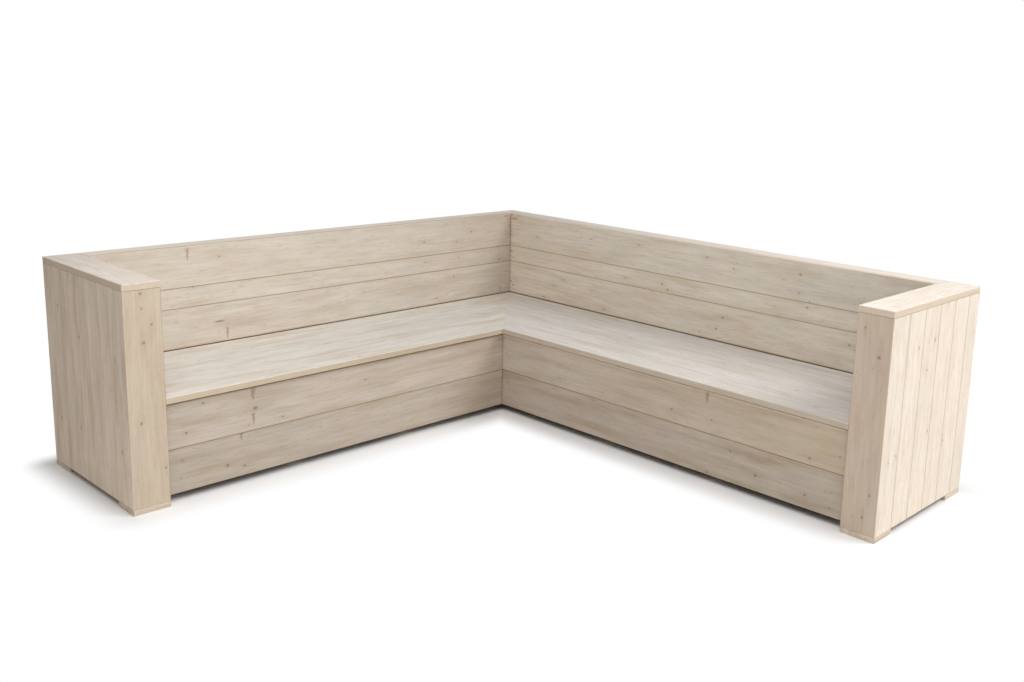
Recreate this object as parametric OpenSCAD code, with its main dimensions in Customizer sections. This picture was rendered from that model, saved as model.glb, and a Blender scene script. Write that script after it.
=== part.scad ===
// Corner lounge bench of planed boards: two seat wings in an L, a boarded back and a box arm at each end.
// Millimetres, +Z up. The origin is on the floor under the centre of the footprint.
// The long wing runs along X with its back towards +Y, the short wing along Y with its back towards -X.
// Pieces of a wing are drawn in wing coordinates: u runs from the outer corner along the wing, v from
// the back face to the front, z up from the floor.

/* [Overall size] */
// Length of the long wing, over its arm
long_side = 3000; // [2600:50:3600]
// Length of the short wing, over its arm
short_side = 2800; // [2400:50:3400]
// Depth from the back face to the front of the seat and arms
depth = 790; // [730:10:850]
// Width of each arm
arm_w = 156; // [140:2:200]

/* [Boards] */
// Thickness of every board
board_t = 28; // [24:1:32]
// Width of a full board
board_w = 195; // [180:1:200]
// Width of the narrow board in the back
narrow_board_w = 97; // [80:1:120]
// Width of the upright boards on the arm's outer side
side_board_w = 137; // [120:1:144]
// Gap between neighbouring boards
joint = 0.5; // [0.2:0.1:1]
// Bevel on the edges of every board
arris = 1.5; // [0.5:0.5:3]

/* [Seat and back] */
// Clear height between the floor and the fascia
fascia_clear = 37; // [32:1:80]
// Shadow gap between the top of the fascia and the seat
shadow_gap = 12.5; // [4:0.5:15]
// Gap between the seat and the face of the back
seat_gap = 2; // [1:1:10]
// Gap between the seat's top and the lowest back board
back_gap = 2; // [1:1:10]

/* [Frame] */
// Section of the square frame timbers
timber = 58; // [48:1:66]
// Distance that the legs stand behind the front rail, out of sight under the fascia
leg_setback = 58; // [40:2:200]
// Greatest distance between two posts
post_pitch = 700; // [450:10:800]

/* [Feet] */
// Thickness of the feet
foot_t = 24; // [18:1:28]
// Gap between the two feet next to the outer corner
foot_gap = 2; // [1:1:10]
// Length of an arm's foot, measured along the depth
foot_l = 140; // [100:5:200]
// Side of the square feet under the posts and legs
pad = 86; // [66:2:100]

/* [Screws] */
// Diameter of the screws
screw_d = 5; // [4:0.5:6]
// Diameter of a screw's countersunk head
screw_head_d = 9.5; // [8:0.5:12]
// Depth that a seat screw enters the board
board_bite = 20; // [12:1:22]
// Depth that a foot screw enters the timber
timber_bite = 42; // [30:1:44]
// Clearance around a screw in its hole
screw_clear = 0.1; // [0.05:0.05:0.3]
// Depth that a screw head sits below the face it is driven into
head_sink = 1; // [0.5:0.5:3]

/* [Hidden] */
$fn = 24;
seat_count = 5;
side_count = 6;
wood = "#e2d2bc";
frame_wood = "#d8c3a2";
steel = "#a9adb2";

// Heights
fascia_z = [fascia_clear, fascia_clear + board_w + joint];
seat_under = fascia_clear + 2 * board_w + joint + shadow_gap;
seat_top = seat_under + board_t;
back_z = [seat_top + back_gap,
          seat_top + back_gap + board_w + joint,
          seat_top + back_gap + board_w + narrow_board_w + 2 * joint];
back_h = [board_w, narrow_board_w, board_w];
top_z = back_z[2] + board_w;
cap_under = top_z - board_t;
rear_step = board_w + joint;
rear_count = ceil((cap_under - fascia_clear) / rear_step);
rail_z = seat_under - timber;

// Depths, measured from the back face
post_v = board_t;
face_v = board_t + timber;
back_t = face_v + board_t;
seat_back_v = back_t + seat_gap;
fascia_v = depth - 2 * board_t;
front_rail_v = fascia_v - timber;
back_rail_v = face_v;
leg_v = front_rail_v - leg_setback - timber;
first_post_u = post_v + timber / 2 + pad + foot_gap;
seat_board_w = (depth - seat_back_v - (seat_count - 1) * joint) / seat_count;
arm_front_v = depth - board_t;

// Arm, measured back from the wing's end
core_w = arm_w - 2 * board_t;
arm_post_v = [post_v, (post_v + arm_front_v - timber) / 2, arm_front_v - timber];
arm_rail_z = [foot_t, rail_z, cap_under - timber];

// Screw lengths
seat_screw_l = timber + board_bite - head_sink;
foot_screw_l = foot_t + timber_bite - head_sink;

// Places a piece drawn in wing coordinates on the long or the short wing
module on_long() {
    translate([-long_side / 2, short_side / 2, 0]) mirror([0, 1, 0]) children();
}

module on_short() {
    translate([-long_side / 2, short_side / 2, 0]) rotate(-90) children();
}

// Centres along the wing of the posts between the corner and the arm. The last stands against the arm
function post_run(side) = side - arm_w - timber / 2 - first_post_u;
function bays(side) = ceil(post_run(side) / post_pitch);
function bay(side) = post_run(side) / bays(side);
function post_at(side) = [for (k = [0 : bays(side)]) first_post_u + k * bay(side)];
function footed(side) = [for (k = [0 : bays(side) - 1]) post_at(side)[k]];
function bearer_at(side) = [for (u = post_at(side)) if (u > depth + timber) u];
function leg_at(side) = [for (u = footed(side)) if (u > depth + timber) u];
function arm_core(side) = side - board_t - core_w;
function arm_mid(side) = arm_core(side) + core_w / 2;

// Lower and upper edge of the rear board k
function rear_z(k) = fascia_clear + k * rear_step;
function rear_top(k) = min(rear_z(k) + board_w, cap_under);

// Edges of the arm's side board k, and the front edge of the seat board k
function side_front(k) = depth - k * (side_board_w + joint);
function side_back(k) = k == side_count - 1 ? 0 : side_front(k) - side_board_w;
function seat_front(k) = depth - k * (seat_board_w + joint);
function seat_mid(k) = seat_front(k) - seat_board_w / 2;

// A rectangle from the origin with its four corners cut off
module cut_rectangle(a, b) {
    polygon([[arris, 0], [a - arris, 0], [a, arris], [a, b - arris],
             [a - arris, b], [arris, b], [0, b - arris], [0, arris]]);
}

// A board of a given size with every edge bevelled: three extrusions cross, one along each axis
module board(size) {
    intersection() {
        linear_extrude(size[2]) cut_rectangle(size[0], size[1]);
        rotate([90, 0, 90]) linear_extrude(size[0]) cut_rectangle(size[1], size[2]);
        translate([0, size[1], 0]) rotate([90, 0, 0]) linear_extrude(size[1])
            cut_rectangle(size[0], size[2]);
    }
}

// A screw that points along +Z from its head; grow widens it to the hole that it sits in
module screw(length, grow = 0) {
    shank = screw_d / 2 + grow;
    head = screw_head_d / 2 + grow;
    taper = screw_head_d / 2 - screw_d / 2;
    rotate_extrude()
        polygon([[0, 0], [head, 0], [shank, taper], [shank, length - screw_d], [0, length + grow]]);
}

// Screws at every pairing of two lists, pointing upwards
module screws_up(us, vs, z, length, grow = 0) {
    for (u = us, v = vs) translate([u, v, z]) screw(length, grow);
}

// The screw sets of a wing are drawn as screws and again, widened, as the holes they sit in.
// Seat: through the bearers into seat board k, and through the front rail into the front board
module seat_set(side, k, grow = 0) {
    at = bearer_at(side);
    us = k == 0 ? [for (u = at) u - bay(side) / 2] : at;
    v = k == 0 ? front_rail_v + timber / 2 : seat_mid(k);
    screws_up(us, [v], rail_z + head_sink, seat_screw_l, grow);
}

// Feet: up through each foot into the timber that stands on it
module foot_set(side, grow = 0) {
    screws_up(footed(side), [post_v + timber / 2], head_sink, foot_screw_l, grow);
    screws_up(leg_at(side), [leg_v + timber / 2], head_sink, foot_screw_l, grow);
    screws_up([arm_mid(side)], [for (k = [0, 2]) arm_post_v[k] + timber / 2], head_sink,
        foot_screw_l, grow);
}

module corner_foot_screw(grow = 0) {
    screws_up([leg_v + timber / 2], [leg_v + timber / 2], head_sink, foot_screw_l, grow);
}

// Back: level 0 is the lowest board, 1 the narrow one and 2 the highest
module back_board(side, start, level) {
    color(wood) translate([start, face_v, back_z[level]])
        board([side - arm_w - joint - start, board_t, back_h[level]]);
}

// The strip behind the highest board that closes the top of the back, mitred at the corner
module top_cap(side) {
    color(wood) difference() {
        translate([0, 0, cap_under]) board([side - arm_w - joint, face_v - joint, board_t]);
        mitre_cut();
    }
}

module rear_boards(side, start) {
    color(wood) for (k = [0 : rear_count - 1]) translate([start, 0, rear_z(k)])
        board([side - board_t - joint - start, board_t, rear_top(k) - rear_z(k)]);
}

// Everything past the diagonal of the outer corner, which the other wing's boards fill
module mitre_cut() {
    reach = 2 * depth;
    translate([0, 0, -1]) linear_extrude(top_z + 2)
        polygon([[-reach, -reach], [reach - joint, reach], [-reach, reach]]);
}

// Seat: board 0 is the front one
module seat_board(side, k) {
    color(wood) difference() {
        translate([0, seat_front(k) - seat_board_w, seat_under])
            board([side - arm_w - joint, seat_board_w, board_t]);
        mitre_cut();
        seat_set(side, k, screw_clear);
    }
}

module fascia_board(side, start, level) {
    color(wood) translate([start, fascia_v, fascia_z[level]])
        board([arm_core(side) - joint - start, board_t, board_w]);
}

module back_rail(side, start) {
    color(frame_wood) translate([start, back_rail_v, rail_z])
        cube([arm_core(side) - start, timber, timber]);
}

module front_rail(side, start) {
    color(frame_wood) difference() {
        translate([start, front_rail_v, rail_z]) cube([arm_core(side) - start, timber, timber]);
        seat_set(side, 0, screw_clear);
    }
}

// Upright timbers in the back of one wing. The one against the arm hangs clear of the arm's foot
module wing_posts(side) {
    color(frame_wood) difference() {
        for (u = post_at(side)) {
            bottom = u < side - arm_w - timber ? foot_t : fascia_clear;
            translate([u - timber / 2, post_v, bottom]) cube([timber, timber, cap_under - bottom]);
        }
        foot_set(side, screw_clear);
    }
}

// The timber in the outer corner, which the rear boards of both wings and the cap are fixed to
module corner_post() {
    color(frame_wood) translate([post_v, post_v, fascia_clear])
        cube([timber, timber, cap_under - fascia_clear]);
}

module wing_bearers(side) {
    color(frame_wood) difference() {
        for (u = bearer_at(side)) translate([u - timber / 2, back_rail_v + timber, rail_z])
            cube([timber, front_rail_v - back_rail_v - timber, timber]);
        for (k = [1 : seat_count - 1]) seat_set(side, k, screw_clear);
    }
}

// The bearer under the mitre, cut to a point between the back rails
module corner_bearer() {
    a = back_rail_v + timber;
    b = front_rail_v;
    half = timber / sqrt(2);
    color(frame_wood) translate([0, 0, rail_z]) linear_extrude(timber)
        polygon([[a, a], [a + half, a], [b + half, b], [b - half, b], [a, a + half]]);
}

// Upright battens under the front rail that the fascia boards are fixed to
module wing_battens(side) {
    color(frame_wood) for (u = bearer_at(side)) translate([u - timber / 2, front_rail_v, fascia_clear])
        cube([timber, timber, rail_z - fascia_clear]);
}

module corner_batten() {
    color(frame_wood) translate([front_rail_v, front_rail_v, fascia_clear])
        cube([timber, timber, rail_z - fascia_clear]);
}

// Legs under the bearers
module wing_legs(side) {
    color(frame_wood) difference() {
        for (u = leg_at(side)) translate([u - timber / 2, leg_v, foot_t])
            cube([timber, timber, rail_z - foot_t]);
        foot_set(side, screw_clear);
    }
}

// The leg under the corner bearer
module corner_leg() {
    color(frame_wood) difference() {
        translate([leg_v, leg_v, foot_t]) cube([timber, timber, rail_z - foot_t]);
        corner_foot_screw(screw_clear);
    }
}

// A square foot centred under a timber at u, v
module square_foot(u, v) {
    translate([u - pad / 2, v - pad / 2, 0]) board([pad, pad, foot_t]);
}

module wing_feet(side) {
    color(wood) difference() {
        union() {
            for (u = footed(side)) square_foot(u, post_v + timber / 2);
            for (u = leg_at(side)) square_foot(u, leg_v + timber / 2);
        }
        foot_set(side, screw_clear);
    }
}

module corner_leg_foot() {
    color(wood) difference() {
        square_foot(leg_v + timber / 2, leg_v + timber / 2);
        corner_foot_screw(screw_clear);
    }
}

// Arm: the front board and the foremost side board meet in an upright mitre
module arm_mitre(side, keep) {
    m = 2 * board_t;
    translate([side - board_t, depth - board_t, 0]) linear_extrude(top_z)
        polygon(keep == "side" ? [[0, 0], [m, m], [0, m]] : [[0, 0], [m, 0], [m, m]]);
}

module arm_front_board(side) {
    color(wood) difference() {
        translate([side - arm_w, arm_front_v, foot_t]) board([arm_w, board_t, cap_under - foot_t]);
        arm_mitre(side, "front");
    }
}

// Side boards: board 0 is the foremost, and the last takes what is left of the depth
module arm_side_board(side, k) {
    color(wood) difference() {
        translate([side - board_t, side_back(k), foot_t])
            board([board_t, side_front(k) - side_back(k), cap_under - foot_t]);
        if (k == 0) arm_mitre(side, "side");
    }
}

module arm_top_board(side) {
    color(wood) translate([side - arm_w, 0, cap_under]) board([arm_w, depth, board_t]);
}

module arm_inner_board(side, level) {
    height = min(back_h[level], cap_under - back_z[level]);
    color(wood) translate([side - arm_w, board_t, back_z[level]])
        board([board_t, arm_front_v - board_t, height]);
}

module arm_frame_posts(side) {
    color(frame_wood) difference() {
        for (v = arm_post_v) translate([arm_core(side), v, foot_t])
            cube([core_w, timber, cap_under - foot_t]);
        foot_set(side, screw_clear);
    }
}

module arm_frame_rails(side) {
    color(frame_wood) for (z = arm_rail_z, k = [0, 1])
        translate([side - board_t - timber, arm_post_v[k] + timber, z])
            cube([timber, arm_post_v[k + 1] - arm_post_v[k] - timber, timber]);
}

module arm_foot_pair(side) {
    color(wood) difference() {
        for (v = [0, depth - foot_l])
            translate([side - arm_w, v, 0]) board([arm_w, foot_l, foot_t]);
        foot_set(side, screw_clear);
    }
}

on_long() back_board(long_side, face_v, 2);  // long_back_upper_board
on_long() back_board(long_side, face_v, 1);  // long_back_middle_board
on_long() back_board(long_side, face_v, 0);  // long_back_lower_board
on_long() top_cap(long_side);  // long_top_cap
on_long() rear_boards(long_side, 0);  // long_rear_boards
on_long() seat_board(long_side, 0);  // long_seat_board_1
on_long() seat_board(long_side, 1);  // long_seat_board_2
on_long() seat_board(long_side, 2);  // long_seat_board_3
on_long() seat_board(long_side, 3);  // long_seat_board_4
on_long() seat_board(long_side, 4);  // long_seat_board_5
on_long() fascia_board(long_side, fascia_v, 1);  // long_fascia_upper_board
on_long() fascia_board(long_side, fascia_v, 0);  // long_fascia_lower_board
on_long() back_rail(long_side, back_rail_v);  // long_back_rail
on_long() front_rail(long_side, back_rail_v + timber);  // long_front_rail
on_short() back_board(short_side, back_t + joint, 2);  // short_back_upper_board
on_short() back_board(short_side, back_t + joint, 1);  // short_back_middle_board
on_short() back_board(short_side, back_t + joint, 0);  // short_back_lower_board
on_short() top_cap(short_side);  // short_top_cap
on_short() rear_boards(short_side, board_t + joint);  // short_rear_boards
on_short() seat_board(short_side, 0);  // short_seat_board_1
on_short() seat_board(short_side, 1);  // short_seat_board_2
on_short() seat_board(short_side, 2);  // short_seat_board_3
on_short() seat_board(short_side, 3);  // short_seat_board_4
on_short() seat_board(short_side, 4);  // short_seat_board_5
on_short() fascia_board(short_side, fascia_v + board_t + joint, 1);  // short_fascia_upper_board
on_short() fascia_board(short_side, fascia_v + board_t + joint, 0);  // short_fascia_lower_board
on_short() back_rail(short_side, back_rail_v + timber);  // short_back_rail
on_short() front_rail(short_side, fascia_v);  // short_front_rail
union() {  // back_posts
    on_long() wing_posts(long_side);
    on_short() wing_posts(short_side);
    on_long() corner_post();
}
union() {  // seat_bearers
    on_long() wing_bearers(long_side);
    on_short() wing_bearers(short_side);
    on_long() corner_bearer();
}
union() {  // fascia_battens
    on_long() wing_battens(long_side);
    on_short() wing_battens(short_side);
    on_long() corner_batten();
}
union() {  // seat_legs
    on_long() wing_legs(long_side);
    on_short() wing_legs(short_side);
    on_long() corner_leg();
}
on_long() arm_top_board(long_side);  // long_arm_top_board
on_long() arm_front_board(long_side);  // long_arm_front_board
on_long() arm_side_board(long_side, 0);  // long_arm_side_board_1
on_long() arm_side_board(long_side, 1);  // long_arm_side_board_2
on_long() arm_side_board(long_side, 2);  // long_arm_side_board_3
on_long() arm_side_board(long_side, 3);  // long_arm_side_board_4
on_long() arm_side_board(long_side, 4);  // long_arm_side_board_5
on_long() arm_side_board(long_side, 5);  // long_arm_side_board_6
on_long() arm_inner_board(long_side, 2);  // long_arm_inner_upper_board
on_long() arm_inner_board(long_side, 1);  // long_arm_inner_middle_board
on_long() arm_inner_board(long_side, 0);  // long_arm_inner_lower_board
on_short() arm_top_board(short_side);  // short_arm_top_board
on_short() arm_front_board(short_side);  // short_arm_front_board
on_short() arm_side_board(short_side, 0);  // short_arm_side_board_1
on_short() arm_side_board(short_side, 1);  // short_arm_side_board_2
on_short() arm_side_board(short_side, 2);  // short_arm_side_board_3
on_short() arm_side_board(short_side, 3);  // short_arm_side_board_4
on_short() arm_side_board(short_side, 4);  // short_arm_side_board_5
on_short() arm_side_board(short_side, 5);  // short_arm_side_board_6
on_short() arm_inner_board(short_side, 2);  // short_arm_inner_upper_board
on_short() arm_inner_board(short_side, 1);  // short_arm_inner_middle_board
on_short() arm_inner_board(short_side, 0);  // short_arm_inner_lower_board
union() {  // arm_posts
    on_long() arm_frame_posts(long_side);
    on_short() arm_frame_posts(short_side);
}
union() {  // arm_rails
    on_long() arm_frame_rails(long_side);
    on_short() arm_frame_rails(short_side);
}
union() {  // arm_feet
    on_long() arm_foot_pair(long_side);
    on_short() arm_foot_pair(short_side);
}
union() {  // post_feet
    on_long() wing_feet(long_side);
    on_short() wing_feet(short_side);
    on_long() corner_leg_foot();
}
color(steel) {  // seat_screws
    on_long() for (k = [0 : seat_count - 1]) seat_set(long_side, k);
    on_short() for (k = [0 : seat_count - 1]) seat_set(short_side, k);
}
color(steel) {  // foot_screws
    on_long() foot_set(long_side);
    on_short() foot_set(short_side);
    on_long() corner_foot_screw();
}
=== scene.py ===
# %% [markdown]
# A corner lounge bench of planed, white-washed boards.
#
# The bench comes as a fixed frame of sixty named pieces, every one already at its real size and place. So
# this lesson shapes nothing new that carries weight. It gives each board its own wood: grain that runs
# along the board, rings that open out where the board was sawn near the heart, knots with the grain
# bending round them, and the thin milky wash that lies over it all.

# %% Load the frame
import functools
import itertools
import math
from typing import NamedTuple

import bpy
import numpy as np
from mathutils import Matrix, Vector


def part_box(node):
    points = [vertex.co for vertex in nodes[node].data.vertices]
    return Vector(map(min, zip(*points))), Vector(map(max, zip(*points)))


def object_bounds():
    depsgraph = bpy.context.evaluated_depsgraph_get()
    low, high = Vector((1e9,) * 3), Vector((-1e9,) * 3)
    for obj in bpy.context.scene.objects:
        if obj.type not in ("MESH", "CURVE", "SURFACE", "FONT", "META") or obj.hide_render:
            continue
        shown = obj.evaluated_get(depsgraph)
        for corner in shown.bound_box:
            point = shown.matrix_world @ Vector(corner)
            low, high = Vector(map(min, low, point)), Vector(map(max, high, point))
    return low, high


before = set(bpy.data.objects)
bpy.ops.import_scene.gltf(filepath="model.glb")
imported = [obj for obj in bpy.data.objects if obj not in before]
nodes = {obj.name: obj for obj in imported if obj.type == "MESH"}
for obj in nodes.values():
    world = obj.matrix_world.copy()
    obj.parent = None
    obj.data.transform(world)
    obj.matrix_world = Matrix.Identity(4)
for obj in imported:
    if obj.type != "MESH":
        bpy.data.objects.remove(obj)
cad_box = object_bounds()
print("pieces in the frame:", len(nodes))

# %% [markdown]
# Shader maths reads best as plain expressions. A Wire holds one output socket of a material, and adding or
# multiplying wires puts the Math nodes in place. Every other kind of node comes from one method, add, which
# sets the node's own settings first and then fills or links its sockets.


# %% A wire that does sums
class Wire:
    """One output socket of a material. An expression on wires adds the Math nodes that work it out."""

    def __init__(self, tree, socket):
        self.tree = tree
        self.socket = socket

    def add(self, kind, settings=None, sockets=None, out=0):
        """A new node of that kind, with its settings set first and its sockets filled or linked after that.
        out is the number or name of the output that comes back."""
        node = self.tree.nodes.new(kind)
        for name, value in (settings or {}).items():
            setattr(node, name, value)
        for key, value in (sockets or {}).items():
            if isinstance(value, Wire):
                self.tree.links.new(value.socket, node.inputs[key])
            else:
                node.inputs[key].default_value = value
        return Wire(self.tree, node.outputs[out])

    def maths(self, operation, *others):
        """A Math node's operation on this value and the others."""
        return self.add("ShaderNodeMath", {"operation": operation}, dict(enumerate((self, *others))))

    def __add__(self, other):
        return self.maths("ADD", other)

    def __sub__(self, other):
        return self.maths("SUBTRACT", other)

    def __rsub__(self, other):
        return self.add("ShaderNodeMath", {"operation": "SUBTRACT"}, {0: other, 1: self})

    def __mul__(self, other):
        return self.maths("MULTIPLY", other)

    def __truediv__(self, other):
        return self.maths("DIVIDE", other)

    __radd__ = __add__
    __rmul__ = __mul__

    def split(self):
        """The X, Y and Z of a vector, as three wires."""
        first = self.add("ShaderNodeSeparateXYZ", None, {0: self})
        return [Wire(self.tree, output) for output in first.socket.node.outputs]

    def point(self, x, y, z=0.0):
        """A vector made of three values."""
        return self.add("ShaderNodeCombineXYZ", None, {0: x, 1: y, 2: z})

    def step(self, low, high):
        """0 below low, 1 above high, and a smooth rise between them."""
        return self.add(
            "ShaderNodeMapRange",
            {"interpolation_type": "SMOOTHSTEP"},
            {"Value": self, "From Min": low, "From Max": high},
        )

    def cloud(self, scale, detail=2.0, draw=0.0):
        """Noise from 0 to 1 at this place in space; scale is in waves per unit, draw picks another cloud."""
        sockets = {"Vector": self, "W": draw, "Scale": scale, "Detail": detail}
        return self.add("ShaderNodeTexNoise", {"noise_dimensions": "4D"}, sockets)

    def ripple(self, scale, detail=2.0, draw=0.0):
        """Noise from 0 to 1 along one value; scale is in waves per unit, draw moves along it."""
        sockets = {"W": self + draw, "Scale": scale, "Detail": detail}
        return self.add("ShaderNodeTexNoise", {"noise_dimensions": "1D"}, sockets)

    def tint(self, base, colour):
        """The colour base with another laid over it, as much as this wire says."""
        return self.blend("MIX", self, base, colour)

    def times(self, shade):
        """This colour times another."""
        return self.blend("MULTIPLY", 1.0, self, shade)

    def blend(self, how, share, base, colour):
        """A Mix node on colours. Its sockets for colours are the seventh and eighth, its output the third."""
        settings = {"data_type": "RGBA", "blend_type": how}
        return self.add("ShaderNodeMix", settings, {0: share, 6: base, 7: colour}, out=2)


def start_finish(name):
    """A new material with a Principled shader; returns the material, the shader and Object coordinates."""
    material = bpy.data.materials.new(name)
    material.use_nodes = True
    tree = material.node_tree
    shader = tree.nodes["Principled BSDF"]
    place = tree.nodes.new("ShaderNodeTexCoord")
    return material, shader, Wire(tree, place.outputs["Object"])


def linear(red, green, blue):
    """A colour as a paint card gives it, 0 to 255, as the light values that a shader works in."""
    share = np.array([red, green, blue]) / 255
    return tuple(float(v) for v in np.where(share < 0.04045, share / 12.92, ((share + 0.055) / 1.055) ** 2.4))


def rgba(colour):
    """A colour with its fourth value, which makes it solid."""
    return (*colour, 1.0)


def combined(operation, wires):
    """All the wires as one, such as the least of them: a Math operation on the first two, and so on."""
    return functools.reduce(lambda first, second: first.maths(operation, second), wires)


print("light of a mid grey card:", round(linear(128, 128, 128)[0], 3))

# %% [markdown]
# What is a board, to its pattern? It is a slice of a log. Its grain follows its length, and the rings are
# circles about the log's heart, which lies somewhere below or beside the slice. If the distance to the
# heart is worked out at every point, with the heart wandering a little along the log, then every colour
# that depends on that distance draws straight lines near the board's edges, long pointed arches in its
# middle, and true rings on its sawn ends, all of them joined up.
#
# A board also has neighbours. Where another piece lies against one of its sides, the arris there is a dark
# seam with dust and bare wood in it. Where nothing does, hands and sandpaper have worn the arris pale, and
# that pale line is also a painted highlight. The boxes of the pieces tell which side is which, so nobody has
# to list the seams.

# %% Where a board lies, and what it lies against
TOUCHING = 0.009  # metres between boxes that still count as touching
COVERED = 0.3  # share of a side that has to be covered
SEAM = 0.0022  # metres that a seam reaches into the board
ARRIS = 0.0055  # metres that the wear of an arris, and its painted highlight, reach in
WORN_DOWN = 0.3  # share of that reach that is fully worn and highlit
boxes = {name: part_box(name) for name in nodes}


def meets(name, axis, side):
    """True if other pieces' boxes cover a good part of that side (0 low, 1 high) of this one's box."""
    mine = boxes[name]
    rest = [b for b in range(3) if b != axis]
    covered = 0.0
    for other, box in boxes.items():
        shared = [max(min(mine[1][b], box[1][b]) - max(mine[0][b], box[0][b]), 0.0) for b in rest]
        if other != name and abs(box[1 - side][axis] - mine[side][axis]) < TOUCHING:
            covered += shared[0] * shared[1]
    return covered > COVERED * np.prod([mine[1][b] - mine[0][b] for b in rest])


class Board:
    """A board's own axes and size: along, across and through, as numbers of the X, Y and Z axes. A piece can
    be several boards, one above the other: it has that many layers, each as high as its pitch."""

    def __init__(self, name, layers=1, pitch=0.0):
        self.low, self.high = boxes[name]
        size = self.high - self.low
        self.through, self.across, self.along = sorted(range(3), key=lambda axis: size[axis])
        self.width = pitch or float(size[self.across])
        self.length = float(size[self.along])
        self.layers = layers
        self.met = {(axis, side): meets(name, axis, side) for axis in range(3) for side in (0, 1)}

    def measure(self, place):
        """Metres along the board from its low end, across from its middle line and through; its layer."""
        split = place.split()
        along = split[self.along] - float(self.low[self.along])
        through = split[self.through] - float((self.low[self.through] + self.high[self.through]) / 2)
        height = split[self.across] - float(self.low[self.across])
        if self.layers == 1:
            return along, height - self.width / 2, through, 0.0
        layer = (height / self.width).maths("FLOOR")
        return along, height - (layer + 0.5) * self.width, through, layer

    def from_sides(self, across):
        """Metres to the nearer of a board's two long edges: half its width less the distance across."""
        return self.width / 2 - across.maths("ABSOLUTE")

    def edges(self, place, across):
        """Masks of the seams and of the worn arrises, whose pale line is also a painted highlight, from 1 at
        the edge to 0 a few millimetres in. The seams' comes from the least depth under a met side. An arris
        lies where two free sides meet, so its mask is the product of theirs."""
        split = place.split()
        met = [self.from_sides(across)] if self.layers > 1 else []
        near = []
        for axis in range(3):
            depths = (split[axis] - float(self.low[axis]), float(self.high[axis]) - split[axis])
            met += [depth for side, depth in enumerate(depths) if self.met[axis, side]]
            free = [depth for side, depth in enumerate(depths) if not self.met[axis, side]]
            if free:
                near.append(1 - combined("MINIMUM", free).step(ARRIS * WORN_DOWN, ARRIS))
        pairs = [one * other for one, other in itertools.combinations(near, 2)]
        worn_and_highlit = combined("MAXIMUM", pairs) if pairs else across * 0.0
        return 1 - combined("MINIMUM", met).step(0.0, SEAM), worn_and_highlit


print("seams found:", sum(meets(n, axis, side) for n in nodes for axis in range(3) for side in (0, 1)))

# %% [markdown]
# A knot is where a branch left the log, so it is a dark spot with the rings squeezed round it. Most knots
# here are the size of a pea, and they can fall where they like: a Voronoi pattern, stretched along the
# board, has one centre in each cell, and each cell's random colour says how large and how dark its knot is,
# or that it has none. The ones that catch the eye on the real bench are listed one by one.

# %% Knots
KNOT_CELL = (0.15, 0.085)  # metres along and across the board
KNOT_RATE = 0.4  # share of the cells that have a knot
LARGEST_KNOT = 0.0052  # metres
NO_KNOT = 0.00005  # metres added to every radius, because an empty cell's would be 0 and is divided by
CELL_DRAW = 1.7  # a board's draw moves its cells this much farther across than along
BEND_REACH = 7.0
HALO_REACH = 5.0
HALO_STRETCH = 4
SPIKE_LEAN = 0.7


def one_knot(run, rise, radius, lean=1.2):
    """A knot where run and rise are 0. Its spot has that radius across the grain, and lean times that along
    it. The rings bend by the radius times e to minus the squared distance over BEND_REACH squared radii.
    The halo is e to minus the squared distance over HALO_REACH squared radii, and HALO_STRETCH times as
    long as it is wide."""
    rise_squared = rise * rise
    reach = (run / lean) * (run / lean) + rise_squared
    spot = 1 - reach.maths("SQRT").step(radius * 0.4, radius * 1.25)
    bend = (reach / (radius * radius * -BEND_REACH)).maths("EXPONENT") * radius
    stretched = (run / HALO_STRETCH) * (run / HALO_STRETCH) + rise_squared
    halo = (stretched / (radius * radius * -HALO_REACH)).maths("EXPONENT")
    return spot, halo, bend


def one_spike(run, rise, reach, lean):
    """A branch cut lengthwise: a wedge that stands across the board as far as reach both ways, and grows
    wider from its lower to its upper end."""
    height = rise / reach
    width = (height * 0.45 + 0.6) * (reach * lean)
    inside = 1 - (run.maths("ABSOLUTE") / width).step(0.25, 1.15)
    return inside * (1 - height.maths("ABSOLUTE").step(0.6, 1.05))


def knot_field(along, across, draw):
    """Nearness to scattered knots: the spot's mask, a halo along the grain and how far the rings bend."""
    cells = along.point(along / KNOT_CELL[0] + draw, across / KNOT_CELL[1] + CELL_DRAW * draw)
    settings = {"voronoi_dimensions": "2D", "feature": "F1"}
    sockets = {"Vector": cells, "Scale": 1.0, "Randomness": 0.9}
    centre = cells.add("ShaderNodeTexVoronoi", settings, sockets, out="Position")
    chance = Wire(cells.tree, centre.socket.node.outputs["Color"]).split()
    cell_x, cell_y, _ = cells.split()
    centre_x, centre_y, _ = centre.split()
    run = (cell_x - centre_x) * KNOT_CELL[0]
    rise = (cell_y - centre_y) * KNOT_CELL[1]
    radius = ((chance[0] - (1 - KNOT_RATE)) / KNOT_RATE).maths("MAXIMUM", 0.0) * LARGEST_KNOT
    spot, halo, bend = one_knot(run, rise, radius + NO_KNOT)
    darkness = chance[1] * 0.7 + 0.25
    return spot * darkness, halo * chance[1], bend


print("cells with a scattered knot on a square metre:", round(KNOT_RATE / (KNOT_CELL[0] * KNOT_CELL[1])))

# %% [markdown]
# The finish is one recipe for every board. It starts with patterns that follow the grain. Each is a cloud of
# noise that has more waves per metre across the board than along it, so it comes out long and thin. Some
# are broad stains, some are threads or motes, and some are the short dark flecks where pores and brush
# hairs caught the wash. Each board draws its own numbers, so that no two look alike.

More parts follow.
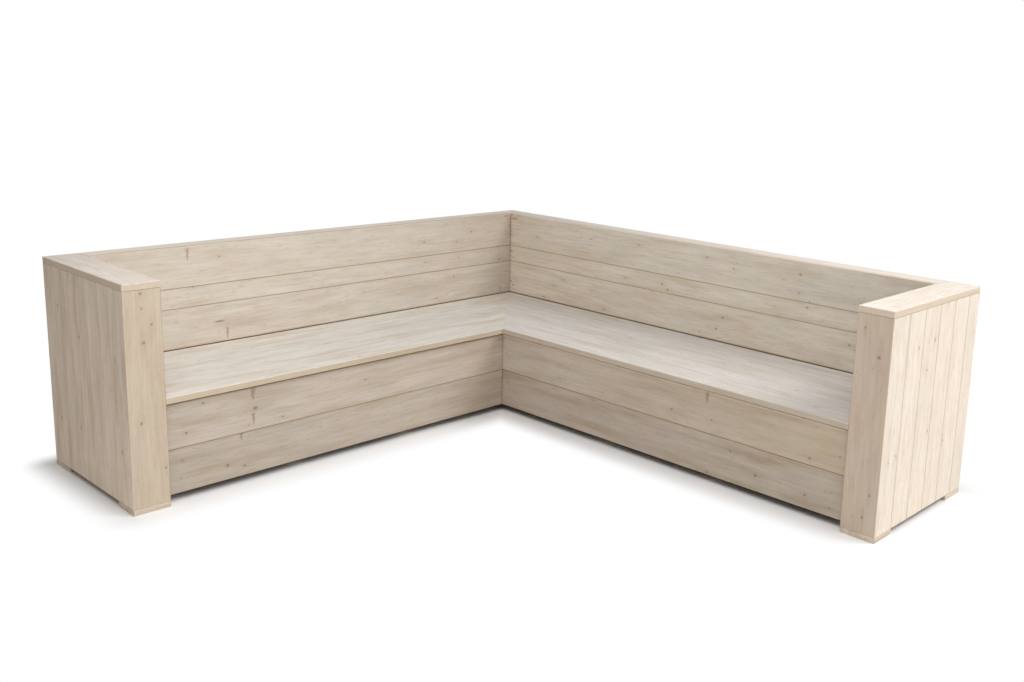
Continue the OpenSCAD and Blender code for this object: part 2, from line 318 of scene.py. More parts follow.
# %% Patterns along the grain
PATTERNS = {
    # waves per metre along and across the board, the noise node's scale and detail, and the cloud's own
    # draw; the node's scale multiplies the draw too
    "waver": (6.0, 70.0, 1.0, 2.0, 0.0),
    "haze": (6.0, 70.0, 5.0, 2.0, 3.0),
    "patch": (0.45, 1.0, 7.0, 3.0, 0.0),
    "cover": (0.45, 1.0, 16.0, 2.0, 9.0),
    "fleck": (42.0, 420.0, 1.0, 1.0, 0.0),
    "mote": (30.0, 110.0, 1.0, 2.0, 7.0),
    "blotch": (2.6, 24.0, 1.0, 4.0, 5.0),
    "thread": (8.0, 150.0, 1.0, 2.0, 2.0),
}


def patterns(along, across, through, shift):
    """A cloud for each row of the table, at along, across and through times the waves per metre."""
    clouds = {}
    for name, (long_waves, cross_waves, scale, detail, draw) in PATTERNS.items():
        place = along.point(along * long_waves, across * cross_waves, through * cross_waves)
        clouds[name] = place.cloud(scale, detail, shift + draw)
    return clouds


print("patterns:", ", ".join(PATTERNS))

# %% [markdown]
# The rings come from the distance to the log's heart. The noise and the knots push that distance about a
# little, which makes the rings waver and flow round each knot. The distance then drives two things: noise
# along one value gives broad streaks of several rings, and the fraction of the distance over one ring's
# width gives the single rings.

# %% Rings and knots of one board
SHIFTS = (5, 60)  # the range that a board's place in the noise is drawn from
LAYER_SHIFT = 7.31  # from each board to the one above it, in a piece that holds several
HEART_SIDE = 0.45  # how far the heart lies from the middle line at most, as a share of the board's width
HEART_DEPTH = (0.035, 0.11)  # metres that it lies from the middle of the board's thickness
HEART_WANDER = (0.9, 0.035)  # waves per metre along the log, and the metres that it ranges over sideways
HEART_SINK = (0.45, 0.07)  # the same, up and down
SINK_DRAW = 31.0
RING = 0.0045  # metres
RING_WAVER = 0.003  # metres
STREAK_WAVES = 75.0  # waves per metre away from the heart
SPIKE_WAVER = 0.014  # metres
PLACED_KNOT = 0.85  # darkness of a knot that is listed one by one


class Grain:
    """What a finish needs to know about each point of a board: its place, patterns, knots and rings."""

    def __init__(self, board, place, seed, marks):
        draw = np.random.default_rng(seed)
        self.along, self.across, self.through, layer = board.measure(place)
        self.shift = layer * LAYER_SHIFT + float(draw.uniform(*SHIFTS))
        self.clouds = patterns(self.along, self.across, self.through, self.shift)
        self.speckle = self.clouds["fleck"].step(0.62, 0.78)
        self.motes = self.clouds["mote"].step(0.56, 0.74)
        self.place_knots(marks)
        radius = self.from_heart(board, draw) + self.bend + self.clouds["waver"] * RING_WAVER
        self.streak = radius.ripple(STREAK_WAVES, 3.0, draw=self.shift).step(0.36, 0.72)
        self.ring = (radius / RING).maths("FRACT").step(0.4, 0.95)

    def place_knots(self, marks):
        """Adds the listed knots to the scattered ones: the greatest of the masks, the sum of the
        bends. The spikes keep a mask of their own."""
        self.spot, self.halo, self.bend = knot_field(self.along, self.across, self.shift)
        spikes = []
        for mark_along, mark_across, radius, lean in marks:
            run = self.along - mark_along
            rise = self.across - mark_across
            if lean > SPIKE_LEAN:
                spot, halo, bend = one_knot(run, rise, radius, lean)
                self.spot = self.spot.maths("MAXIMUM", spot * PLACED_KNOT)
                self.halo = self.halo.maths("MAXIMUM", halo)
                self.bend = self.bend + bend
            else:
                run = run + (self.clouds["waver"] - 0.5) * SPIKE_WAVER
                spikes.append(one_spike(run, rise, radius, lean))
        self.spike = combined("MAXIMUM", spikes) if spikes else None

    def from_heart(self, board, draw):
        """Metres to the log's wandering heart: the root of sideways squared plus depth squared."""
        heart_across = float(draw.uniform(-HEART_SIDE, HEART_SIDE)) * board.width
        heart_depth = float(draw.uniform(*HEART_DEPTH)) * (1 if draw.random() < 0.5 else -1)
        wander = (self.along.ripple(HEART_WANDER[0], draw=self.shift) - 0.5) * HEART_WANDER[1]
        sink = (self.along.ripple(HEART_SINK[0], draw=self.shift + SINK_DRAW) - 0.5) * HEART_SINK[1]
        sideways = self.across - heart_across + wander
        depth = self.through - heart_depth + sink
        return (sideways * sideways + depth * depth).maths("SQRT")


print("rings", RING * 1000, "mm wide")

# %% [markdown]
# Colour goes on in layers, as paint does. A layer is a share from 0 to 1 and a colour, which is laid over
# what is there as much as the share says. The wood is pale, with slightly darker late wood in the streaks
# and the rings. The milky wash over it has soaked in unevenly, so soft patches lean to pink and to a
# greenish grey, and near a board's edges it is thinner. Then come the stains, the threads, the flecks, the
# motes and the knots.

# %% Layers of the wood and the wash
PALE_WOOD = linear(231, 221, 207)
LATE_WOOD = linear(199, 178, 152)
PINK_WASH = linear(226, 211, 199)
GREEN_WASH = linear(214, 208, 194)
WARM_WOOD = linear(219, 196, 161)
STAIN = linear(203, 178, 146)
KNOT_WOOD = linear(116, 90, 68)
SPIKE_WOOD = linear(150, 118, 88)
THIN_WASH = 0.014  # metres that the thinner wash reaches in from a board's edges


class Look(NamedTuple):
    """How the boards in one place differ from the others, in colour and in painted light and shade. All but
    the tint are shares.
    """

    tint: tuple  # what all of the colour is multiplied by: the tone and painted light and shade
    warmth: float = 0.0  # warm wood, all over
    warming: float = 0.0  # more warm wood towards the board's high end
    stained: float = 0.0  # colour of the stains, which also darken the wood
    bare: float = 0.0  # sawn wood on the narrow edges
    dust: float = 0.0  # darkness of the seams
    painted_light_drift: float = 0.0  # painted light and shade: light gained from the low end to the high end, as the light falls along the board
    painted_light_under_seat: float = 0.0  # painted light at the upper edge, which lifts the shade under the seat's overhang


def wood_layers(board, look, grain):
    """Shares and colours of the wood, the wash, the stains and the knots, in the order that they go on."""
    cloud = grain.clouds
    warm = cloud["cover"].step(0.55, 0.8) * 0.3 + (grain.along / board.length) * look.warming + look.warmth
    layers = [
        (grain.streak * 0.2 + grain.ring * cloud["cover"] * 0.25, LATE_WOOD),
        (cloud["patch"].step(0.5, 0.72) * 0.6, PINK_WASH),
        ((1 - cloud["patch"].step(0.3, 0.52)) * 0.6, GREEN_WASH),
        (warm, WARM_WOOD),
        (cloud["blotch"].step(0.42, 0.78) * look.stained, STAIN),
        (cloud["thread"].step(0.45, 0.75) * 0.4, LATE_WOOD),
        ((1 - board.from_sides(grain.across).step(0.0, THIN_WASH)) * 0.3, WARM_WOOD),
        (grain.speckle * 0.3 + grain.halo * 0.35, LATE_WOOD),
        (grain.motes * 0.45, STAIN),
        (grain.spot * 0.62, KNOT_WOOD),
    ]
    if grain.spike:
        layers.append((grain.spike * (cloud["haze"].step(0.3, 0.7) * 0.25 + 0.4), SPIKE_WOOD))
    return layers


print("pale wood, as light:", [round(value, 2) for value in PALE_WOOD])

# %% [markdown]
# A board's rims show its age. The narrow edges and the ends were sawn, so bare wood shows there. Free
# arrises are worn pale, and that pale line is also a painted highlight. Along the lines where faces meet at
# an angle, dust and painted shade darken the wood, and at the inner corner of the back a brown painted shade
# reaches far along the boards.

# %% Layers along the rims, and how light each point is
SAWN_EDGE = linear(184, 160, 129)
SEAM_WOOD = linear(108, 74, 44)
# brown of the corners: partly dust, partly painted shade where faces meet
DUST_AND_SHADE = linear(160, 122, 82)
# worn wood, which is also a painted highlight along the free arrises
WORN_AND_HIGHLIT_WOOD = linear(246, 238, 222)
SAWN_LINE = (0.0002, 0.0009)  # metres from the edge where bare wood starts to fade, and where it is gone
DUST_AND_SHADE_LINE = 0.010  # metres that the dust and painted shade along a corner's line reach
DUST_AND_SHADE_MOTES = 0.10  # metres that loose motes of that dust and painted shade reach
PAINTED_SHADE_REACH = 0.7  # metres that the brown painted shade reaches from a corner
PAINTED_LIGHT_REACH = 0.08  # metres that the painted light under the seat reaches down
PAINTED_LIGHT_MOST = (0.014, 1.8)  # metres of its palest part, and how much paler that is
PLAIN_LIGHT = 0.89  # of a point with no haze, no waver and half a stain
HAZE_LIGHT = 0.08
WAVER_LIGHT = 0.18
STAIN_SHADE = 0.3


def rim_layers(board, look, grain, place, corners):
    """Shares and colours along the rims. corners are planes where dust and painted shade darken the wood: the
    axis, the place, how much dust and painted shade lie along the plane, and how much brown painted shade
    reaches out from there along the board."""
    from_ends = board.length / 2 - (grain.along - board.length / 2).maths("ABSOLUTE")
    seam, worn_and_highlit = board.edges(place, grain.across)
    layers = [
        ((1 - board.from_sides(grain.across).step(*SAWN_LINE)) * look.bare, SAWN_EDGE),
        ((1 - from_ends.step(*SAWN_LINE)) * 0.6, SAWN_EDGE),
        # the pale worn arris is also a painted highlight
        (worn_and_highlit * 0.2, WORN_AND_HIGHLIT_WOOD),
    ]
    # along each corner: a line of dust and painted shade, motes of the same, and a wide brown painted shade
    for axis, where, amount, painted_shade in corners:
        gap = (place.split()[axis] - where).maths("ABSOLUTE")
        layers.append(((1 - gap.step(0.0, DUST_AND_SHADE_LINE)) * (0.45 * amount), DUST_AND_SHADE))
        if axis != board.across:
            layers.append(((1 - gap.step(0.0, DUST_AND_SHADE_MOTES)) * grain.motes * (0.8 * amount), DUST_AND_SHADE))
            layers.append(((1 - gap.step(0.0, PAINTED_SHADE_REACH)) * painted_shade, DUST_AND_SHADE))
    layers.append((seam * look.dust, SEAM_WOOD))
    return layers


def lightness_with_painted_light(board, look, grain, place):
    """How light each point is, about 1. The haze and the waver make it lighter, and the stains darker. That
    is multiplied by painted light and shade that drift along the board and, under the seat, by painted light
    that pales the upper edge in the overhang's shade."""
    cloud = grain.clouds
    stains = (cloud["blotch"] - 0.5) * (look.stained * STAIN_SHADE)
    level = PLAIN_LIGHT + cloud["haze"] * HAZE_LIGHT + cloud["waver"] * WAVER_LIGHT - stains
    # painted light and shade: lighter or darker from one end of the board to the other
    level = level * ((grain.along / board.length - 0.5) * look.painted_light_drift + 1.0)
    # painted light: the strip under the seat's overhang is made paler where it lies in shade
    if look.painted_light_under_seat:
        below = float(board.high[board.across]) - place.split()[board.across]
        palest, gain = PAINTED_LIGHT_MOST
        paler = (1 - below.step(0.0, PAINTED_LIGHT_REACH)) + (1 - below.step(0.0, palest)) * gain
        level = level * (paler * look.painted_light_under_seat + 1.0)
    return level


# the motes of dust and painted shade, and the wide painted shade, reach this far from a corner
print("dust reaches", DUST_AND_SHADE_MOTES, "m and haze", PAINTED_SHADE_REACH, "m from a corner")

# %% [markdown]
# The layers become one colour, which feeds the shader. The wash is satin, a little glossier on the knots.
# The same patterns also feed a fine bump: the haze stands up, and the late wood, the flecks and the knots
# lie lower, as they do where a wash has dried over open grain.

# %% The finish of one board
GLOSS = 1.45  # index of refraction
BUMP = {"Strength": 0.35, "Distance": 0.0005}


def board_finish(name, board, seed, look, marks=(), corners=()):
    """One board's material: its layers over pale wood, times its tint and how light each point is. Some
    layers are painted shade and highlight, and the tint and the lightness hold painted light and shade.
    """
    material, shader, place = start_finish(name)
    grain = Grain(board, place, seed, marks)
    wood = rgba(PALE_WOOD)
    for share, colour in wood_layers(board, look, grain) + rim_layers(board, look, grain, place, corners):
        wood = share.tint(wood, rgba(colour))
    level = lightness_with_painted_light(board, look, grain, place)
    # the tint and the lightness carry painted light and shade as well as the board's tone
    shade = {channel: level * share for channel, share in enumerate(look.tint)}
    colour = wood.times(level.add("ShaderNodeCombineColor", None, shade))
    place.tree.links.new(colour.socket, shader.inputs["Base Color"])

    shader.inputs["IOR"].default_value = GLOSS
    haze = grain.clouds["haze"]
    roughness = 0.6 + haze * 0.14 - grain.spot * 0.12
    place.tree.links.new(roughness.socket, shader.inputs["Roughness"])
    height = haze * 0.5 - grain.streak * 0.35 - grain.ring * 0.2 - grain.speckle * 0.4 - grain.spot * 0.6
    bump = height.add("ShaderNodeBump", None, {**BUMP, "Height": height})
    place.tree.links.new(bump.socket, shader.inputs["Normal"])
    return material


print("bump distance", BUMP["Distance"] * 1000, "mm")

# %% [markdown]
# These are the knots that catch the eye: how far along the board, how far across from its middle line, the
# radius, and how much longer than wide the spot is. Where that last number is SPIKE_LEAN or less, it is a
# branch cut lengthwise, which leaves a spike across the board.

# %% Knots listed one by one
MARKS = {
    "long_back_upper_board": [
        (1.52, 0.038, 0.006, 1.1), (2.08, 0.033, 0.008, 1.3), (2.08, -0.057, 0.005, 1.2),
        (0.26, -0.018, 0.005, 1.2), (0.70, 0.026, 0.004, 1.6), (1.06, 0.042, 0.004, 1.2),
        (0.06, 0.070, 0.004, 7.0),
    ],
    "long_back_middle_board": [
        (1.27, -0.030, 0.007, 1.2), (2.13, 0.026, 0.005, 1.3), (1.23, -0.005, 0.007, 1.2),
        (0.97, -0.009, 0.005, 1.2),
    ],
    "long_back_lower_board": [
        (1.64, 0.032, 0.007, 1.2), (1.60, -0.035, 0.006, 1.4), (2.37, 0.031, 0.006, 1.2),
        (0.49, 0.049, 0.006, 1.2), (0.41, 0.002, 0.005, 1.2), (0.33, -0.080, 0.005, 2.0),
        (0.72, 0.024, 0.005, 1.2), (0.82, -0.071, 0.006, 1.6),
    ],
    "short_back_upper_board": [
        (0.45, 0.060, 0.036, 0.35), (0.61, 0.033, 0.005, 1.2), (2.21, 0.012, 0.007, 1.2),
        (2.10, -0.037, 0.006, 1.3), (1.86, -0.017, 0.006, 1.2),
    ],
    "short_back_middle_board": [
        (0.47, 0.048, 0.006, 1.2), (2.44, -0.031, 0.006, 1.2), (1.87, 0.013, 0.005, 1.2),
    ],
    "short_back_lower_board": [
        (0.64, -0.060, 0.036, 0.35), (0.60, 0.006, 0.006, 5.0), (2.08, 0.050, 0.006, 1.2),
        (1.95, -0.062, 0.006, 1.2), (2.45, -0.072, 0.024, 0.35),
    ],
    "long_fascia_upper_board": [
        (1.39, 0.069, 0.031, 0.60), (1.42, -0.031, 0.006, 1.2), (1.19, -0.035, 0.006, 1.2),
        (1.93, -0.068, 0.006, 1.3), (2.07, -0.023, 0.005, 1.2),
    ],
    "long_fascia_lower_board": [
        (1.67, -0.026, 0.008, 1.1), (1.53, 0.049, 0.005, 1.2), (1.92, -0.040, 0.006, 1.2),
        (1.41, -0.086, 0.006, 1.3),
    ],
    "short_fascia_upper_board": [
        (0.43, 0.068, 0.032, 0.60), (0.44, 0.002, 0.009, 1.5), (0.43, -0.046, 0.032, 0.45),
        (0.20, 0.075, 0.006, 1.2), (0.12, -0.039, 0.006, 1.2),
    ],
    "short_fascia_lower_board": [
        (0.30, -0.034, 0.008, 1.2), (0.37, 0.084, 0.022, 0.60), (0.38, -0.055, 0.006, 1.3),
    ],
    "short_arm_front_board": [
        (0.89, -0.006, 0.008, 0.8), (0.83, -0.004, 0.005, 1.2), (0.76, 0.034, 0.006, 1.0),
        (0.69, -0.002, 0.008, 1.0), (0.36, -0.028, 0.007, 1.2), (0.15, 0.063, 0.005, 1.2),
    ],
    "long_arm_front_board": [
        (0.74, 0.028, 0.009, 1.0), (0.17, 0.040, 0.006, 1.2), (0.07, 0.016, 0.007, 1.2),
        (0.85, -0.040, 0.005, 1.2),
    ],
    "short_arm_side_board_1": [(0.23, -0.008, 0.007, 1.6)],
    "short_arm_side_board_4": [(0.64, 0.038, 0.006, 1.8), (0.23, 0.001, 0.006, 1.2)],
    "short_arm_side_board_5": [(0.74, -0.034, 0.006, 1.4)],
    "short_arm_side_board_6": [(0.22, 0.046, 0.007, 1.3), (0.49, -0.043, 0.005, 1.2)],
    "long_arm_side_board_1": [(0.32, 0.050, 0.005, 1.2)],
    "long_arm_side_board_2": [(0.75, 0.031, 0.006, 1.4)],
    "long_arm_side_board_3": [
        (0.76, 0.035, 0.007, 1.8), (0.64, -0.015, 0.006, 1.2), (0.36, 0.050, 0.006, 1.2),
    ],
    "long_arm_side_board_5": [(0.28, -0.060, 0.005, 1.2)],
    "short_seat_board_3": [(2.01, 0.012, 0.004, 7.0), (1.99, -0.020, 0.004, 6.0), (0.98, 0.010, 0.004, 6.0)],
}
print("knots placed by hand:", sum(len(spots) for spots in MARKS.values()))

# %% [markdown]
# Now every board gets its own finish. The boards come from different logs, so the tone of each one is drawn
# too, within a few per cent. A table adds what differs from place to place: the seat has the thickest wash on
# top and bare sawn edges, and the arms' front boards are the yellowest. Its tints also hold painted light and
# shade: the caps, the arm tops and the seats are made lighter, and the fascias, most of all their lower
# boards, darker.

# %% How the boards differ from place to place
LOOKS = {
    # the first row whose name is part of a board's name is the one that counts
    # the tints are painted light and shade as well as tone: lighter on tops, darker on the fascias
    "long_seat": Look((0.92, 0.985, 1.11), stained=0.5, bare=0.65, dust=0.25, painted_light_drift=-0.05),
    "short_seat": Look((1.01, 1.09, 1.20), stained=0.6, bare=0.85, dust=0.25, painted_light_drift=-0.12),
    "long_back_upper": Look((0.99, 1.02, 1.05), warmth=0.06, stained=0.45, dust=0.65, painted_light_drift=-0.19),
    "long_back": Look((1.03, 1.06, 1.09), warmth=0.06, stained=0.5, dust=0.65, painted_light_drift=-0.14),
    "short_back_lower": Look((0.84, 0.86, 0.89), warmth=0.06, stained=0.4, dust=0.65, painted_light_drift=-0.14),
    "short_back": Look((0.87, 0.89, 0.92), warmth=0.06, stained=0.35, dust=0.65, painted_light_drift=-0.14),
    "long_top_cap": Look((1.08, 1.11, 1.20), stained=0.1, dust=0.3),
    "short_top_cap": Look((1.14, 1.15, 1.18), stained=0.1, dust=0.3),
    "_rear": Look((0.97, 0.98, 0.99), warmth=0.08, stained=0.25, bare=0.15, dust=0.5),
    "long_fascia_upper": Look(
        (0.75, 0.75, 0.765), 0.08, warming=0.5, stained=0.7, bare=0.2, dust=0.7, painted_light_drift=-0.06, painted_light_under_seat=0.2
    ),
    "long_fascia_lower": Look((0.675, 0.66, 0.66), warmth=0.08, stained=0.8, bare=0.2, dust=0.7),
    "short_fascia_upper": Look(
        (0.71, 0.70, 0.71), 0.10, stained=0.6, bare=0.2, dust=0.6, painted_light_drift=0.06, painted_light_under_seat=0.07
    ),
    "short_fascia_lower": Look((0.635, 0.625, 0.63), 0.10, stained=0.6, bare=0.2, dust=0.6, painted_light_drift=0.06),
    "long_arm_front": Look((0.76, 0.725, 0.735), warmth=0.32, stained=0.35, bare=0.2, dust=0.6),
    "short_arm_front": Look((0.79, 0.775, 0.78), warmth=0.38, stained=0.35, bare=0.2, dust=0.6),
    "_arm_top": Look((1.06, 1.07, 1.13), stained=0.25, bare=0.45, dust=0.45),
    "long_arm_side": Look((1.045, 1.045, 1.065), warmth=0.02, stained=0.15, bare=0.1, dust=0.6),
    "short_arm_side": Look((1.09, 1.04, 1.01), warmth=0.04, stained=0.7, bare=0.1, dust=0.06),
    "_arm_inner": Look((0.93, 0.96, 1.0), warmth=0.06, stained=0.25, bare=0.15, dust=0.5),
}
X, Y, Z = range(3)
DUST_AND_SHADE_CORNERS = (
    # part of the name, axis, the face that it meets (board, 0 low or 1 high), dust and painted shade, wide
    # painted shade
    ("long_back", X, "short_back_upper_board", 1, 1.0, 0.0),
    ("short_back_upper", Y, "long_back_upper_board", 0, 1.2, 0.16),
    ("short_back_middle", Y, "long_back_upper_board", 0, 0.9, 0.14),
    ("short_back_lower", Y, "long_back_upper_board", 0, 0.2, 0.05),
    ("long_back_lower", Z, "long_back_lower_board", 0, 1.2, 0.0),
    ("short_back_lower", Z, "short_back_lower_board", 0, 1.0, 0.0),
    ("long_fascia", X, "short_fascia_upper_board", 1, 0.6, 0.0),
    ("short_fascia", Y, "long_fascia_upper_board", 0, 0.3, 0.10),
    ("short_fascia_upper", Z, "long_fascia_upper_board", 1, 1.0, 0.0),
    ("long_seat_board_5", Y, "long_seat_board_5", 1, 1.0, 0.0),
    ("short_seat_board_5", X, "short_seat_board_5", 0, 1.0, 0.0),
)
print("looks:", len(LOOKS), "and dusty corners:", len(DUST_AND_SHADE_CORNERS))

# %% Dress the boards
REAR_LAYERS = 5
REAR_PITCH = 0.1955  # metres from each rear board to the next
FIRST_SEED = 40
FIRST_LUCK = 1000
TONE_LUCK = (0.985, 1.015)
WARMTH_LUCK = (0.0, 0.08)


def dress(node, material):
    """Puts the material in every slot of a CAD piece."""
    mesh = nodes[node].data
    mesh.materials.clear()
    mesh.materials.append(material)


def lucky_look(name, number):
    """The look of that board's place, with a tone and a warmth of its own."""
    look = next(look for part, look in LOOKS.items() if part in name)
    luck = np.random.default_rng(FIRST_LUCK + number)
    tone = float(luck.uniform(*TONE_LUCK))
    warmth = look.warmth + float(luck.uniform(*WARMTH_LUCK))
    return look._replace(tint=tuple(share * tone for share in look.tint), warmth=warmth)


board_nodes = [name for name in sorted(nodes) if "_board" in name or "_cap" in name]
for number, name in enumerate(board_nodes):
    corners = [
        (axis, float(boxes[met][side][axis]), *amounts)
        for part, axis, met, side, *amounts in DUST_AND_SHADE_CORNERS
        if part in name
    ]
    board = Board(name, REAR_LAYERS, REAR_PITCH) if "_rear" in name else Board(name)
    look = lucky_look(name, number)
    dress(name, board_finish(name, board, FIRST_SEED + number, look, MARKS.get(name, ()), corners))
print("boards dressed:", len(board_nodes))

# %% [markdown]
# The frame timbers are rough sawn and bare. They show only from below and through the gap over the floor.
# The feet are offcuts of the same washed boards.

# %% Dress the frame, the feet and the screws
SAWN_WAVES = (2.5, 45.0)  # waves per metre along the grain and across it
SAW_RIDGES = 260.0  # per metre
SAWN_BUMP = {"Strength": 0.4, "Distance": 0.0008}
SAWN_PALE = linear(208, 184, 148)
SAWN_DARK = linear(182, 152, 116)
FOOT_PALE = linear(216, 201, 181)
FOOT_DARK = linear(190, 170, 145)
ZINC_PALE = linear(178, 181, 184)
ZINC_DARK = linear(150, 154, 160)
ZINC_WAVES = 700.0  # per metre


def sawn_finish(name, pale, dark, axis):
    """Sawn wood, with its grain along one axis and the faint ridges of the saw across it."""
    material, shader, place = start_finish(name)
    waves = [SAWN_WAVES[1]] * 3
    waves[axis] = SAWN_WAVES[0]
    scaled = place.add("ShaderNodeVectorMath", {"operation": "MULTIPLY"}, {0: place, 1: tuple(waves)})
    grain = scaled.cloud(1.0, 4.0)
    saw = place.split()[axis].ripple(SAW_RIDGES, 1.0)
    colour = grain.step(0.35, 0.7).tint(rgba(pale), rgba(dark))
    colour = ((1 - grain) * 0.3).tint(colour, rgba(PINK_WASH))
    place.tree.links.new(colour.socket, shader.inputs["Base Color"])
    place.tree.links.new((0.66 + grain * 0.15).socket, shader.inputs["Roughness"])
    height = grain + saw * 0.5
    bump = height.add("ShaderNodeBump", None, {**SAWN_BUMP, "Height": height})
    place.tree.links.new(bump.socket, shader.inputs["Normal"])
    return material


def zinc_finish(name):
    """Dull zinc plating, with soft patches."""
    material, shader, place = start_finish(name)
    patch = place.cloud(ZINC_WAVES)
    colour = patch.tint(rgba(ZINC_PALE), rgba(ZINC_DARK))
    place.tree.links.new(colour.socket, shader.inputs["Base Color"])
    shader.inputs["Metallic"].default_value = 1.0
    place.tree.links.new((0.32 + patch * 0.15).socket, shader.inputs["Roughness"])
    return material


upright = sawn_finish("sawn_upright", SAWN_PALE, SAWN_DARK, Z)
lengthwise = sawn_finish("sawn_along_x", SAWN_PALE, SAWN_DARK, X)
crosswise = sawn_finish("sawn_along_y", SAWN_PALE, SAWN_DARK, Y)
foot_wood = sawn_finish("foot_wood", FOOT_PALE, FOOT_DARK, Y)
for name in ("back_posts", "fascia_battens", "seat_legs", "arm_posts"):
    dress(name, upright)
for name in ("long_back_rail", "long_front_rail"):
    dress(name, lengthwise)
for name in ("short_back_rail", "short_front_rail", "seat_bearers", "arm_rails"):
    dress(name, crosswise)
for name in ("arm_feet", "post_feet"):
    dress(name, foot_wood)
zinc = zinc_finish("zinc")
for name in ("seat_screws", "foot_screws"):
    dress(name, zinc)
print("materials made:", len(bpy.data.materials))

# %% [markdown]
# The floor is a wide pale sheet that catches the bench's shadow. A lamp can't light a whole floor evenly, so
# a plain sheet would turn grey behind the bench and show where it ends. Away from the bench, the sheet is
# therefore seen as plain white, the same as the world behind it, and only close to the bench as real
# floor. Rays that carry light to the bench always meet the real floor.

# %% Floor
FLOOR_REACH = 30.0
NEAR_FLOOR = 0.0  # metres from the bench where the floor starts to turn white
FAR_FLOOR = 0.16  # metres from the bench where it is all white
FLOOR_PAINT = linear(249, 249, 249)
WHITE = (1.0, 1.0, 1.0, 1.0)


def square_sheet(name, reach):
    """A level square sheet: the corners are every pairing of minus and plus reach."""
    mesh = bpy.data.meshes.new(name)
    corners = [(-reach, -reach, 0), (reach, -reach, 0), (reach, reach, 0), (-reach, reach, 0)]
    mesh.from_pydata(corners, [], [(0, 1, 2, 3)])
    sheet = bpy.data.objects.new(name, mesh)
    bpy.context.scene.collection.objects.link(sheet)
    return sheet


def outside(place, low, high):
    """How far a point is outside a rectangle: the length of what its x and y stick out by."""
    sticks_out = []
    for axis in (0, 1):
        middle = float(low[axis] + high[axis]) / 2
        half = float(high[axis] - low[axis]) / 2
        past = ((place.split()[axis] - middle).maths("ABSOLUTE") - half).maths("MAXIMUM", 0.0)
        sticks_out.append(past * past)
    return (sticks_out[0] + sticks_out[1]).maths("SQRT")


floor = square_sheet("floor", FLOOR_REACH)
floor_material, floor_shader, floor_place = start_finish("floor_paint")
floor_shader.inputs["Base Color"].default_value = rgba(FLOOR_PAINT)
floor_shader.inputs["Roughness"].default_value = 0.9
floor_shader.inputs["Specular IOR Level"].default_value = 0.0
low, high = cad_box
wing_front = (boxes["short_seat_board_1"][1][0], boxes["long_seat_board_1"][0][1])
away = outside(floor_place, (low[0], wing_front[1]), high)
away = away.maths("MINIMUM", outside(floor_place, low, (wing_front[0], high[1])))
floor_tree = floor_place.tree
floor_path = floor_tree.nodes.new("ShaderNodeLightPath")
seen_far = away.step(NEAR_FLOOR, FAR_FLOOR) * Wire(floor_tree, floor_path.outputs["Is Camera Ray"])
white_card = away.add("ShaderNodeEmission", None, {"Color": WHITE, "Strength": 1.0})
painted = Wire(floor_tree, floor_shader.outputs[0])
floor_mix = away.add("ShaderNodeMixShader", None, {0: seen_far, 1: painted, 2: white_card})
floor_tree.links.new(floor_mix.socket, floor_tree.nodes["Material Output"].inputs["Surface"])
floor.data.materials.append(floor_material)
print("floor turns white from", NEAR_FLOOR, "to", FAR_FLOOR, "m away")

# %% [markdown]
# The world is plain white wherever the camera sees it, directly, in a reflection or through something
# clear. To every other ray it is a weak even light, so that it fills the shadows and doesn't bleach the
# wood.

# %% World
WORLD_LIGHT = 0.26

world = bpy.data.worlds.new("studio")
bpy.context.scene.world = world
world.use_nodes = True
world_tree = world.node_tree
world_tree.nodes.clear()
path = world_tree.nodes.new("ShaderNodeLightPath")
camera_ray = Wire(world_tree, path.outputs["Is Camera Ray"])
glossy_ray = Wire(world_tree, path.outputs["Is Glossy Ray"])
clear_ray = Wire(world_tree, path.outputs["Is Transmission Ray"])
seen = camera_ray.maths("MAXIMUM", glossy_ray.maths("MAXIMUM", clear_ray))
soft = camera_ray.add("ShaderNodeBackground", None, {"Color": WHITE, "Strength": WORLD_LIGHT})
white = camera_ray.add("ShaderNodeBackground", None, {"Color": WHITE, "Strength": 1.0})
both = camera_ray.add("ShaderNodeMixShader", None, {0: seen, 1: soft, 2: white})
world_out = world_tree.nodes.new("ShaderNodeOutputWorld")
world_tree.links.new(both.socket, world_out.inputs["Surface"])
print("strength of the world's light:", WORLD_LIGHT)

# %% [markdown]
# Three soft lamps. The key stands high behind the right arm, so that faces towards +X are the brightest, and
# faces towards -Y get none of it. A weaker one stands lower on the same side and reaches that arm most. The
# widest hangs over the open side of the L. It lights the ends of both wings and the floor, and less and
# less of it reaches the inner corner.


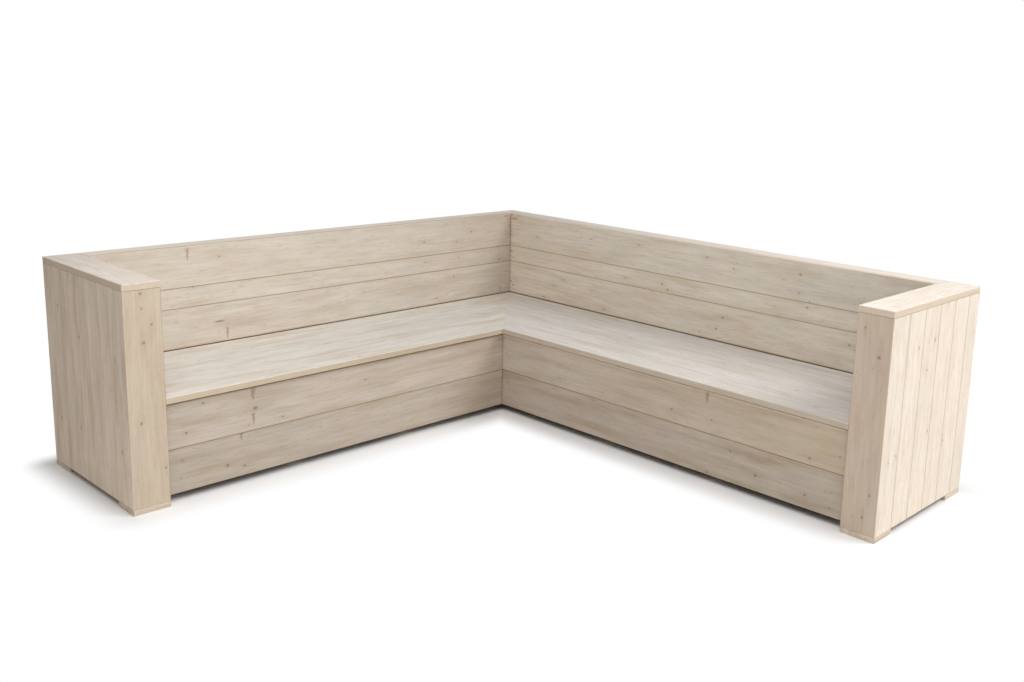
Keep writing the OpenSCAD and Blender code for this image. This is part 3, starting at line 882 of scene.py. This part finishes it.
# %% Lamps
def softbox(name, place, target, side, power):
    """A square area lamp at place, turned towards target, with its side in metres and its power in watts."""
    lamp = bpy.data.lights.new(name, "AREA")
    lamp.shape = "SQUARE"
    lamp.size = side
    lamp.energy = power
    holder = bpy.data.objects.new(name, lamp)
    holder.location = place
    holder.rotation_euler = (Vector(target) - Vector(place)).to_track_quat("-Z", "Y").to_euler()
    bpy.context.scene.collection.objects.link(holder)


softbox("key", (3.8, 2.8, 4.0), target=(0.6, 0.2, 0.4), side=2.4, power=146.0)
softbox("side", (5.2, 0.6, 1.7), target=(1.5, 0.4, 0.5), side=2.0, power=28.0)
softbox("overhead", (1.4, -1.6, 3.6), target=(1.4, -1.6, 0.0), side=3.0, power=97.0)
print("lamps:", len(bpy.data.lights))

# %% [markdown]
# The camera stands where the photographer stood: at eye height, in front of the open corner. Its place and
# turn come from lining up the bench's long edges, and the small shift is the picture's own crop.

# %% Camera
PICTURE_WIDTH = 1024
PICTURE_HEIGHT = 682
FOCAL_PIXELS = 1057.39
CENTRE_PIXEL = (580.95, 286.52)
CAMERA_PLACE = Vector((3.3157, -3.1137, 1.8257))
TURN = 0.7498  # radians, as are the next two
TILT = -0.2012
ROLL = 0.0319

forward = Vector((-math.sin(TURN) * math.cos(TILT), math.cos(TURN) * math.cos(TILT), math.sin(TILT)))
level_right = forward.cross(Vector((0, 0, 1))).normalized()
level_up = level_right.cross(forward)
right = level_right * math.cos(ROLL) + level_up * math.sin(ROLL)
up = -level_right * math.sin(ROLL) + level_up * math.cos(ROLL)

lens = bpy.data.cameras.new("camera")
lens.sensor_width = 36.0
lens.lens = FOCAL_PIXELS / PICTURE_WIDTH * lens.sensor_width
lens.shift_x = (PICTURE_WIDTH / 2 - CENTRE_PIXEL[0]) / PICTURE_WIDTH
lens.shift_y = (CENTRE_PIXEL[1] - PICTURE_HEIGHT / 2) / PICTURE_WIDTH
camera = bpy.data.objects.new("camera", lens)
camera.matrix_world = Matrix.Translation(CAMERA_PLACE) @ Matrix((right, up, -forward)).transposed().to_4x4()
bpy.context.scene.collection.objects.link(camera)
bpy.context.scene.camera = camera
bpy.context.scene.view_settings.view_transform = "Standard"
print("lens", round(lens.lens, 2), "mm")
